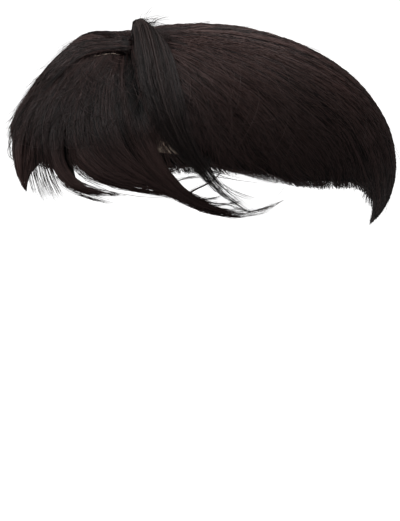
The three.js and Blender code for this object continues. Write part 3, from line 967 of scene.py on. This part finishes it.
def root_line(bearing, reach, rng):
    """Moves the stations of hairs that cross the parting outwards, so that each of them is rooted
    on the parting's outer side: the reach is raised where it lies inside, and spread again over
    the rest of the hair."""
    inside = np.clip(0.5 - beyond_parting(bearing[:, :1], reach[:, :1]), 0, None)
    parted = (bearing[:, :1] > PART_FROM) & (bearing[:, :1] < PART_TO)
    lift = np.where(parted, inside + rng.uniform(-0.9, 0.5, (len(reach), 1)), 0)
    left = np.linspace(1, 0, reach.shape[1])[None]
    return reach + lift * left


def dress_fringe():
    """Hairs of all fringe locks as one piece. Beside the forelock they lie deep, with painted shade
    on them, and a last thin lock, of hairs alone, closes the fringe there down to the opening."""
    all_paths, all_radius, all_tone = [], [], []
    for i, (rows, habits) in enumerate(zip([*FRINGE, LAST_LOCK], LOCK_HABITS)):
        count, early, late, fray = habits
        rng = np.random.default_rng(40 + i)
        bearing, reach, share, place, shade, low = lock_hairs(rows, count, rng, early, late,
                                                               fray * MM)
        reach = root_line(bearing, reach, rng)
        tone, bright = hair_tones(rng, shade)
        layer = (rng.beta(1.1, 1.6, count) * (1 - 0.8 * bright))[:, None]
        rising = 0.7 * MM * (1 - smooth(reach - reach[:, :1], 0, 3.0))
        groove = LOCK_GROOVE * 0.6 * place[:, None] ** 2 * (1 - smooth(share, 0.8, 1.0))
        thin = blend(1.0, 0.5, smooth(share, 0.7, 1.0))
        hollow = smooth(bearing, 36.0, 42.0) * (1 - smooth(reach, 38.0, 54.0))
        streak = 0.9 * MM * low[:, None] * smooth(share, 0.05, 0.3)
        depth = (-0.8 * MM + 1.5 * MM * layer + streak) * thin + rising + groove
        depth = depth + SHADOW_DEPTH * hollow
        all_paths.append(lay(bearing, reach, depth))
        profile = taper(np.linspace(0, 1, STATIONS), tip=0.35, tip_from=0.6)
        all_radius.append(thickness(rng, count, TOP_RADIUS, profile))
        # painted light and shade: darker tones over the middle of the fringe, lighter at its tips, and
        # painted shade on the hollow beside the forelock
        light = blend(0.6, 2.0, smooth(reach, 50, 74)) * (1 - 0.95 * hollow)
        all_tone.append((tone + 0.05)[:, None] * light)
    paths = np.concatenate(all_paths)
    return hair_tubes("fringe_strands", paths, np.concatenate(all_radius), np.concatenate(all_tone),
                      warmth_and_painted_light(paths) + 0.12, hair_strands)


dress_fringe()

# %% [markdown]
# ## Hair combed over the parting
# Between the whorl and the fringe there is a short parting. Hair on its inner side doesn't fall
# forward: it leaves the foot of the forelock, runs along the parting to the wearer's right, and
# only then turns down. The fan of a section can't turn so far, so two rows of places give the
# innermost and the outermost of these hairs, and every hair between them is a blend of the two.

# %% Combed-over hairs
INNER_SWEEP = [(95, 3), (38, 5), (8, 6.5), (-18, 9.5), (-36, 17), (-48, 28), (-55, 41), (-58, 56)]
OUTER_SWEEP = [(62, 8.5), (36, 11.2), (20, 11.3), (8, 12), (-5, 14.4), (-15, 21), (-19, 33),
               (-19, 49)]
SWEPT_STATIONS = 11
SWEPT_CLUMPS = 26
SWEPT_RADIUS = (0.09, 0.16)


def between_rows(one, other, mix, share):
    """Paths between two tables: each hair is its own blend of the two smooth paths."""
    return blend(through_rows(one, share), through_rows(other, share), mix[:, None, None])


def dress_sweep(count=700, seed=71):
    """Hairs that run along the parting, then fall to the right. They lie over all others there:
    the depth is largest at the root, where they rise from the cap, and grows again at the tip."""
    rng = np.random.default_rng(seed)
    mix, centre, group = clumped(rng, count, SWEPT_CLUMPS, 0, 1, 0.004)
    mix = blend(mix, centre, 0.35)
    start = rng.uniform(0.0, 0.2, count)
    share = along_hair(start, rng.uniform(0.72, 1.0, count), SWEPT_STATIONS)
    path = between_rows(INNER_SWEEP, OUTER_SWEEP, mix, share)
    snake = sway(rng, count, 0.5, share, 7)
    layer = rng.uniform(0, 1, count)[:, None]
    rising = 4.0 * MM * (1 - smooth(share - start[:, None], 0, 0.14))
    falling = 1.2 * MM * smooth(share, 0.75, 1.0)
    depth = 1.3 * MM * layer - 1.5 * MM + rising + falling
    paths = lay(path[..., 0], path[..., 1] + snake, depth)
    radius = thickness(rng, count, SWEPT_RADIUS, taper(np.linspace(0, 1, SWEPT_STATIONS)))
    tone = hair_tones(rng, rng.uniform(0, 0.4, SWEPT_CLUMPS)[group])[0] * 0.6
    return hair_tubes("swept_strands", paths, radius, tone, warmth_and_painted_light(paths) + 0.1, hair_strands)


dress_sweep()

# %% [markdown]
# ## Hair beside the whorl
# On the other side of the whorl, hairs fan out from the combed-over ones to the back and the right.
# They could belong to the sections, but there they would start too far out, and the bend's foot
# would show. They use the same blend between two rows.

# %% Crown hairs
CROWN_BACK = [(-150, 2.5), (-142, 9), (-138, 20), (-136, 36), (-135, 50)]
CROWN_SIDE = [(-20, 3), (-44, 8.5), (-56, 17), (-64, 32), (-68, 46)]
CROWN_CLUMPS = 20


def dress_crown(count=240, seed=73):
    """Hairs that leave the whorl beside the combed-over ones and run back and to the right."""
    rng = np.random.default_rng(seed)
    mix, centre, group = clumped(rng, count, CROWN_CLUMPS, 0, 1, 0.01)
    start = rng.uniform(0.0, 0.15, count)
    share = along_hair(start, rng.uniform(0.6, 1.0, count), SWEPT_STATIONS)
    path = between_rows(CROWN_BACK, CROWN_SIDE, blend(mix, centre, 0.4), share)
    rising = 3.0 * MM * (1 - smooth(share - start[:, None], 0, 0.12))
    falling = 2.0 * MM * smooth(share, 0.7, 1.0)
    layer = rng.uniform(-1.3, 0.2, (count, 1)) * MM
    paths = lay(path[..., 0], path[..., 1], layer + rising + falling)
    radius = thickness(rng, count, SWEPT_RADIUS, taper(np.linspace(0, 1, SWEPT_STATIONS)))
    tone = hair_tones(rng, rng.uniform(0, 0.4, CROWN_CLUMPS)[group])[0]
    return hair_tubes("crown_strands", paths, radius, tone, warmth_and_painted_light(paths), hair_strands)


dress_crown()

# %% [markdown]
# ## The whorl
# A whorl is the point that all hair turns away from, and short hairs curl round it. With long hairs
# alone, a bare spot of cap would show there from above. A disc of hair colour could hide it, but
# short hairs in a slight spiral cover it as the real ones do.

# %% Whorl hairs
WHORL_STATIONS = 7
WHORL_RADIUS = (0.10, 0.16)
SPIRAL = 30


def dress_whorl(count=560, seed=79):
    """Short hairs round the whorl: the bearing turns by the spiral's degrees times the square of
    what is left of the way. Those that point forward are shorter, to leave the parting open."""
    rng = np.random.default_rng(seed)
    share = np.linspace(0, 1, WHORL_STATIONS)[None]
    root = rng.uniform(0.2, 5.5, count)[:, None]
    aim = rng.uniform(-180, 180, count)
    forward = np.abs(aim) < 50
    long = np.where(forward, rng.uniform(3, 5, count), rng.uniform(13, 27, count))
    reach = root + long[:, None] * share
    bearing = aim[:, None] + SPIRAL * (1 - share) ** 2
    depth = rng.uniform(-0.3, 1.1, (count, 1)) * MM + 4.5 * MM * (1 - smooth(share, 0, 0.35))
    paths = lay(bearing, reach, depth + 1.4 * MM * smooth(share, 0.6, 1))
    radius = thickness(rng, count, WHORL_RADIUS, taper(share[0]))
    tone = hair_tones(rng, rng.uniform(0, 0.3, count))[0]
    return hair_tubes("whorl_strands", paths, radius, tone, warmth_and_painted_light(paths), hair_strands)


dress_whorl()

# %% [markdown]
# ## The net that shows in the parting
# In the parting itself a thread of the pale net shows through a few hairs. The cap lies several
# millimetres lower, under the dark bodies. They could be cut open, but the line is thinner than a
# hair's clump, so a narrow ribbon of the same net lies there instead, just under the hair.

# %% Strip of net
STRIP_STATIONS = 36
STRIP_HALF = 0.22 * MM
STRIP_THICK = 0.14 * MM


def parting_strip():
    """A closed ribbon of net along the parting: its middle line follows the parting table, its
    section is a flat oval of eight corners, and a sine along it makes it swell and thin."""
    bearing = np.linspace(-5.5, 30, STRIP_STATIONS)
    reach = np.interp(bearing, PARTING[:, 0], PARTING[:, 1]) + 0.15
    middle = lay(bearing, reach, np.full(STRIP_STATIONS, 0.1 * MM))
    along = unit(np.gradient(middle, axis=0))
    out = hair_normal(middle)
    across = unit(np.cross(along, out))
    turn = (2 * np.pi * np.arange(8) / 8)[None, :, None]
    broken = 0.62 + 0.38 * np.sin(np.linspace(0, 19, STRIP_STATIONS))
    pointed = np.sin(np.linspace(0.05, np.pi - 0.05, STRIP_STATIONS)) ** 0.5
    ring = (STRIP_HALF * np.cos(turn) * across[:, None] + STRIP_THICK * np.sin(turn) * out[:, None])
    return middle[:, None] + ring * (broken * pointed)[:, None, None]


lofted_locks("parting_net", [parting_strip()], net)

# %% [markdown]
# ## The forelock
# The forelock is a thick bundle. Its hairs leave the cap together at the whorl, stand straight up,
# bend over and run down the dome in one flat band that narrows to a tail. A bevelled curve would
# give it one thickness all round. A profile carried along a path gives it a steep front edge and
# lets its back edge lie down on the side hair. The body comes first, and the hairs follow it.

# %% Forelock
FORELOCK_BODY = (0.03, 0.62)
LIFT_LOW = 1.0 * MM


def forelock_path(rows_share, across, lift_share):
    """Points of the forelock: from its middle line on the dome, a step across it, then a step out.
    The step out runs from 1 mm to the height in the table. It falls steeply at the front edge and
    gently at the back edge, where the lock lies down on the side hair."""
    places, sizes = np.hsplit(np.array(FORELOCK), 2)
    line = through_rows(places, rows_share)
    size = through_rows(sizes * SHARE_WEIGHT, rows_share) / SHARE_WEIGHT
    step = 0.004
    turn = through_rows(places, rows_share + step) - through_rows(places, rows_share - step)
    centre = hair_point(line[..., 0], line[..., 1])
    ahead_of = hair_point(line[..., 0] + turn[..., 0], line[..., 1] + turn[..., 1])
    over = unit(np.cross(hair_normal(centre), ahead_of - centre))
    half = FORELOCK_WIDTH * size[..., 1:2]
    under = centre + over * across[..., None] * half
    ray = under - HAIR_CENTRE
    level = ray[..., 2] + FRONT_LIFT * ray[..., 1]
    length = np.sqrt((ray[..., 0] / HAIR_HALF[0]) ** 2 + (ray[..., 1] / HAIR_HALF[1]) ** 2
                     + (level / HAIR_HALF[2]) ** 2)
    under = HAIR_CENTRE + ray / length[..., None]
    fall = np.where(across < 0, 0.45 * np.abs(across) ** 3, 0.7 * np.abs(across) ** 1.8)
    top = FORELOCK_HEIGHT * size[..., 0] * (1 - fall)
    lift = blend(LIFT_LOW, top, lift_share)
    return under + hair_normal(under) * lift[..., None]


def forelock_body():
    """The bundle's body: rings of the same profile, a little inside the single hairs."""
    share = np.linspace(*FORELOCK_BODY, 42)
    over_back = np.linspace(-0.9, 0.9, 13)
    under_side = np.linspace(0.9, -0.9, 5)
    across = np.concatenate([under_side, over_back])
    lift = np.concatenate([0.02 + 0 * under_side, 0.8 + 0 * over_back])
    grid = np.broadcast_arrays(share[:, None], across[None], lift[None])
    ring = forelock_path(*grid)
    middle = ring.mean(1, keepdims=True)
    shrink = blend(0.92, 0.25, smooth(share, 0.36, FORELOCK_BODY[1]))[:, None, None]
    return middle + (ring - middle) * shrink


forelock_under = lofted_locks("forelock_under_hair", [forelock_body()], under_forelock)
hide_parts("forelock")

# %% [markdown]
# ## Hairs of the forelock
# Hairs at the outside of the bend rise highest and start their bend furthest back, and the inner
# ones nest under them. A comb has left ridges in the bundle. Ridges could be cut into the body, but
# they have to show between hairs, so the hairs of one ridge share their height and shade. Most
# hairs end well above the tail, and it thins out to a few.

# %% Hairs of the forelock
FORELOCK_COMBS = 52
FORELOCK_EARLY = 0.96
STANDING = unit(np.array((0.06, 0.10, 1.0)))


def dress_forelock(count=1300, seed=61):
    """Hairs of the forelock. The first stations stand up from the cap, and the rest follow the
    bundle. A comb has left ridges in it, so hairs share their ridge's height and shade."""
    rng = np.random.default_rng(seed)
    layer = rng.uniform(0, 1, count) ** 0.6
    across, centre, comb = clumped(rng, count, FORELOCK_COMBS, -0.96, 1.02, 0.02)
    start = blend(0.2, 0.05, layer)
    stops = rng.uniform(size=count) < FORELOCK_EARLY
    stop = blend(0.36, 0.88, rng.uniform(0, 1, count) ** 1.3)
    end = np.where(stops, stop, 0.97 + rng.normal(0, 0.03, count)).clip(0.4, 1.0)
    share = start[:, None] + (end - start)[:, None] * np.linspace(0, 1, 11)[None] ** 1.2
    stray = np.where(rng.uniform(size=count) < 0.10, 0.24, 0.04)
    snake = sway(rng, count, 1, share, 6) * stray[:, None]
    lean = (centre - across)[:, None] * 0.5 * smooth(share, 0.1, 0.5)
    wild = np.where(rng.uniform(size=count) < 0.12, 1.1, 0.22)
    loose = (rng.normal(0, 1, count) * wild)[:, None] * smooth(share, 0.45, 0.85)
    ridge = rng.uniform(-0.14, 0.05, FORELOCK_COMBS)[comb][:, None] * smooth(share, 0.05, 0.3)
    tone, bright = hair_tones(rng, rng.uniform(0, 0.4, FORELOCK_COMBS)[comb])
    lift = np.clip(layer[:, None] * 0.97 + 0.03 + ridge + 0.04 * bright[:, None], 0.02, None)
    bundle = forelock_path(share, across[:, None] + lean + snake + loose, lift)
    foot = hair_point(np.full(count, 97.0), blend(6.0, 2.4, layer))
    side_step = unit(np.cross(hair_normal(foot), bundle[:, 2] - bundle[:, 0]))
    foot = foot + side_step * (across * 3.6 * MM)[:, None]
    seat = scalp_point(foot, SEAT)
    tall = STANDING * (blend(2.4, 10.2, layer) * MM * (1 - 0.10 * across ** 2))[:, None]
    upright = np.stack([seat, foot + tall * 0.45, foot + tall * 0.93], 1)
    paths = np.concatenate([upright, bundle], 1)
    profile = taper(np.linspace(0, 1, paths.shape[1]), tip=0.35)
    radius = thickness(rng, count, TOP_RADIUS, profile)
    return hair_tubes("forelock_strands", paths, radius, tone, warmth_and_painted_light(paths) + 0.1,
                      forelock_strands)


dress_forelock()

# %% [markdown]
# ## Wisps
# Thin wisps hang between the fringe locks, and a few hairs cross the openings beside the forelock's
# tail. Chance could scatter them, but each gap has its own wisps, so they are listed: a row
# holds two paths and a count, and its hairs lie between the two.

# %% Wisps
WISP_RADIUS = (0.055, 0.115)
WISPS = [
    ([(-38.7, 48), (-39.5, 54), (-36, 59), (-27, 64)],
     [(-36, 47), (-34, 53), (-30, 59), (-23, 65)], 14),
    ([(-12, 52), (-9.5, 62), (-7.6, 70), (-6, 78)],
     [(-2, 50), (1.9, 62), (4.6, 69), (7.4, 76)], 70),
    ([(-14, 60), (-12, 66), (-10.5, 71), (-9.5, 75)],
     [(-11, 58), (-9, 64), (-8, 70), (-7.5, 76)], 12),
    ([(3.5, 66), (9, 71.5), (16.3, 76), (24, 78.8)],
     [(5, 66), (12, 72), (18.2, 74.8), (23, 77.4)], 22),
    ([(11, 50), (11, 60), (15, 66.5), (23, 71.5)],
     [(16, 50), (15, 58), (18, 64), (26, 70)], 46),
    ([(27, 70), (32.2, 74.8), (36, 77.3), (42, 80)],
     [(27, 70), (32, 74), (36, 76), (42, 79)], 9),
    ([(44, 80), (48, 78), (53, 77), (59.5, 73)],
     [(45, 80), (49, 78.6), (54, 77), (60, 74)], 12),
    ([(46, 78.5), (49, 82.6), (51.5, 83.6), (55, 82.5)],
     [(46, 79), (49, 83), (52, 84), (55, 83.6)], 12),
    ([(47, 82), (51, 85.3), (55.3, 87), (59, 87.5)],
     [(47, 83), (51, 86), (55, 88), (59, 88)], 14),
    ([(47, 83), (50, 86), (53, 88.5), (58, 91)],
     [(48, 84), (51, 87.5), (54, 90), (59, 92)], 9),
    ([(55, 70), (60, 75), (64, 78.5), (70.5, 87)],
     [(56, 70), (61, 74.6), (66, 79), (72, 85)], 22),
    ([(54.5, 87), (59.1, 92.7), (63.5, 93.6), (69, 92)],
     [(54, 88), (59, 92.5), (63.5, 93.2), (67, 92.4)], 9),
    ([(42, 68.5), (46, 68.6), (49, 68.5), (52, 68)],
     [(42, 71), (46, 70), (49, 69.6), (53, 70)], 10),
    ([(42, 73), (46, 73), (49, 73.2), (53, 74.3)],
     [(42, 74), (46, 74.2), (49, 74), (53, 75)], 10),
    ([(46, 56), (47.5, 61), (49.5, 66), (52.5, 71)],
     [(47, 55), (49, 60), (51.5, 65), (54.5, 70)], 16),
    ([(46, 50), (45.6, 61), (46.4, 66), (47.8, 71)],
     [(49, 50), (48.6, 60), (49.7, 65), (51, 70)], 26),
    ([(45, 53), (44.6, 62), (44.3, 67.3), (45.4, 73)],
     [(46.5, 53), (45.6, 62), (45.4, 67), (46.6, 72)], 16),
    ([(53, 74), (55, 81), (57.5, 86), (61, 90.5)],
     [(54, 74), (57, 80), (60, 85), (64, 89)], 9),
]


def dress_wisps(seed=83):
    """Wisps as one piece of thin hairs, each a blend of its row's two paths with a sway."""
    rng = np.random.default_rng(seed)
    paths = []
    for one, other, count in WISPS:
        share = along_hair(rng.uniform(0, 0.12, count), rng.uniform(0.84, 1.0, count))
        path = between_rows(one, other, rng.uniform(0, 1, count), share)
        wide = rng.normal(0, 0.45, (2, count, 1))
        snake = wide * np.sin(share * 4 + rng.uniform(0, 6, (2, count, 1)))
        depth = rng.uniform(-0.4, 1.2, (count, 1)) * MM
        paths.append(lay(path[..., 0] + snake[0], path[..., 1] + snake[1], depth + 0 * share))
    paths = np.concatenate(paths)
    count = len(paths)
    profile = taper(np.linspace(0, 1, STATIONS), root=0.8, tip=0.3)
    radius = thickness(rng, count, WISP_RADIUS, profile)
    return hair_tubes("wisp_strands", paths, radius, rng.uniform(0.2, 0.8, count),
                      warmth_and_painted_light(paths) + 0.25, hair_strands)


dress_wisps()

# %% [markdown]
# ## Flyaway hairs
# However well hair is combed, some short hairs stand off it, and they soften its outline against the
# light. Noise on the hairs' own paths could lift some of them, but then the dense layer would go
# rough too. So these are hairs apart: thinner, more of them in front, and each turned its own way.

# %% Flyaway hairs
FLYAWAY_STATIONS = 7
FLYAWAY_RADIUS = (0.05, 0.095)


def dress_flyaways(count=900, seed=97):
    """Short thin hairs that leave the dome: their height grows with the way along to the power of
    1.6, and each turns away from the combing by its own angle."""
    rng = np.random.default_rng(seed)
    share = np.linspace(0, 1, FLYAWAY_STATIONS)[None]
    front = rng.uniform(size=count) < 0.5
    bearing = np.where(front, rng.uniform(-110, 20, count), rng.uniform(-180, 180, count))
    hem = hem_reach(np.where(bearing < 44, bearing + 360, bearing).clip(44, 326))
    root = rng.uniform(3, 8, count) + (hem - 12) * rng.uniform(0, 1, count) ** 0.8
    long = rng.uniform(8, 22, count)
    reach = np.minimum(root[:, None] + long[:, None] * share, hem[:, None] + 2.5)
    turn = rng.normal(0, 7, count) / np.sin(np.radians(np.clip(root, 12, 90)))
    tall = np.minimum(rng.gamma(1.6, 1.1, count), 7.0) * MM
    paths = lay(bearing[:, None] + turn[:, None] * share ** 1.3, reach,
                -0.3 * MM - tall[:, None] * share ** 1.6)
    radius = thickness(rng, count, FLYAWAY_RADIUS, taper(share[0], tip=0.4))
    return hair_tubes("flyaway_strands", paths, radius, rng.uniform(0.2, 0.8, count),
                      warmth_and_painted_light(paths), hair_strands)


dress_flyaways()

# %% [markdown]
# ## Hairs with a painted highlight that cross the side
# On the left side a few hairs lie over the others at a slant, and a painted highlight makes them
# light, which tells the eye how fine the rest are. A bright streak in the material would be cheaper,
# but it couldn't cross the combing. They lie just off the dome, and are painted brighter than the
# hairs below.

# %% Crossing hairs
CROSSING_RADIUS = (0.06, 0.10)


def dress_crossing(count=240, seed=91):
    """Single hairs with a painted highlight that lie over the side, each turned a little from the
    combing: its bearing drifts by its own turn, with the way along to the power of 1.5."""
    rng = np.random.default_rng(seed)
    share = np.linspace(0, 1, STATIONS)[None]
    bearing = rng.uniform(52, 118, count)
    root = rng.uniform(14, 60, count)
    long = np.minimum(rng.uniform(22, 44, count), hem_reach(bearing) - root)
    turn = rng.normal(-2, 11, count) / np.sin(np.radians(root + long / 2))
    snake = sway(rng, count, 1.2, share, 5)
    around = bearing[:, None] + turn[:, None] * share ** 1.5 + snake
    depth = rng.uniform(-1.6, -0.9, (count, 1)) * MM + 2.4 * MM * (1 - smooth(share, 0, 0.15))
    paths = lay(around, root[:, None] + long[:, None] * share, depth)
    radius = thickness(rng, count, CROSSING_RADIUS, taper(share[0], tip=0.4))
    # painted highlight: tones from 0.75 to 1
    return hair_tubes("crossing_strands", paths, radius, rng.uniform(0.75, 1.0, count),
                      warmth_and_painted_light(paths), hair_strands)


dress_crossing()

# %% [markdown]
# ## The tuft over the forelock
# The bend of the forelock sheds a few loose hairs that stick up and back from it. They leave the
# dome for good, so they don't lie on it as the others do: each is a straight throw that sags under
# its own weight, which is the shape of any thin rod held at one end.

# %% Tuft hairs
TUFT_STATIONS = 7
TUFT_RADIUS = (0.045, 0.08)
TUFT_HEADING = np.array([0.55, 0.62, 0.42])
TUFT_TOP = 8 * MM


def dress_tuft(count=120, seed=101):
    """Loose hairs off the top of the forelock's bend: start, plus heading times the way along,
    minus a sag that grows with its square, and never above the top."""
    rng = np.random.default_rng(seed)
    share = np.linspace(0, 1, TUFT_STATIONS)[None, :, None]
    start = forelock_path(rng.uniform(0.06, 0.3, count), rng.uniform(-0.9, 0.9, count),
                          rng.uniform(0.8, 1.0, count))
    heading = unit(TUFT_HEADING + rng.normal(0, 0.38, (count, 3)))
    long = rng.uniform(4, 17, count)[:, None, None] * MM
    sag = np.array([0, 0, -1.0]) * long * 0.42 * share ** 2
    paths = start[:, None] + heading[:, None] * long * share + sag
    paths[..., 2] = np.minimum(paths[..., 2], cad_box[1][2] + TUFT_TOP)
    radius = thickness(rng, count, TUFT_RADIUS, taper(share[0, :, 0], tip=0.4))
    return hair_tubes("tuft_strands", paths, radius, rng.uniform(0.2, 0.8, count),
                      warmth_and_painted_light(paths), forelock_strands)


dress_tuft()

# %% [markdown]
# ## Counting
# A library part has to stay light enough to load. Each face with n corners is drawn as n - 2
# triangles, so their number is counted here, to see what each piece costs.

# %% Count the triangles
new_meshes = [o for o in bpy.context.scene.objects
              if o.type == "MESH" and o.name.endswith(("_strands", "_under_hair", "_net"))]
triangles = {o.name: sum(len(f.vertices) - 2 for f in o.data.polygons) for o in new_meshes}
print("triangles", sum(triangles.values()), "most in one piece", max(triangles.values()))
